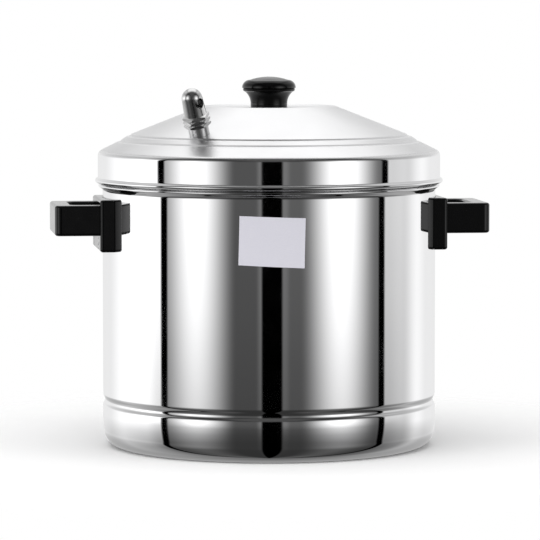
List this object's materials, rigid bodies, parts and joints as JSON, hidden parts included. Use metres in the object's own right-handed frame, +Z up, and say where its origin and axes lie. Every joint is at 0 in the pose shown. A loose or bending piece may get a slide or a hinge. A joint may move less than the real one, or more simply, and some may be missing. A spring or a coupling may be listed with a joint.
{
  "type": "idli steamer",
  "caption": "Stovetop idli steamer: deep polished steel pot with side handles, stepped lid with knob and steam whistle, and a lift-out rack of cup plates clamped on a rod.",
  "frame": {"origin": "centre of the pot's flat base, on the surface it stands on", "axes": "+Z up along the pot's axis, X through the two side handles, -Y towards the front with the whistle at front left"},
  "size_m": [0.326, 0.261, 0.277],
  "materials": {
    "polished_steel": "mirror polished stainless steel",
    "plate_steel": "pressed stainless sheet, satin",
    "plain_steel": "plain stainless steel",
    "bright_plated": "bright plated brass",
    "brass": "turned brass",
    "black_moulding": "glossy black phenolic moulding",
    "gasket_rubber": "soft dark silicone"
  },
  "bodies": {
    "pot": {"pot_shell": "polished_steel", "handle_bracket_left": "plain_steel", "handle_bracket_right": "plain_steel", "handle_grip_left": "black_moulding", "handle_grip_right": "black_moulding", "handle_screws_left": "plain_steel", "handle_screws_right": "plain_steel"},
    "lid": {"lid_shell": "polished_steel", "lid_knob": "black_moulding", "knob_insert": "brass", "knob_screw": "plain_steel", "knob_washer": "plain_steel", "whistle_stem": "bright_plated", "whistle_nuts": "bright_plated", "whistle_cap": "bright_plated", "whistle_gasket": "gasket_rubber", "whistle_lock_nut": "bright_plated"},
    "rack": {"rack_foot": "plain_steel", "rack_rod": "plain_steel", "rack_washer": "plain_steel", "idli_plate_1": "plate_steel", "rack_spacer_1": "plain_steel", "idli_plate_2": "plate_steel", "rack_spacer_2": "plain_steel", "idli_plate_3": "plate_steel", "rack_spacer_3": "plain_steel", "idli_plate_4": "plate_steel", "rack_spacer_4": "plain_steel"},
    "wing_nut": {"rack_wing_nut": "plain_steel"}
  },
  "joints": [
    {"name": "lid_lift", "type": "slide", "parent": "pot", "child": "lid", "axis": [0, 0, 1], "range_m": [0, 0.55]},
    {"name": "rack_lift", "type": "slide", "parent": "pot", "child": "rack", "axis": [0, 0, 1], "range_m": [0, 0.25]},
    {"name": "wing_nut_turn", "type": "hinge", "parent": "rack", "child": "wing_nut", "pos_m": [0, 0, 0.185], "axis": [0, 0, 1], "continuous": true}
  ],
  "couplings": [
    {"joint": "rack_lift", "follows": "lid_lift", "ratio": 0.4545}
  ]
}
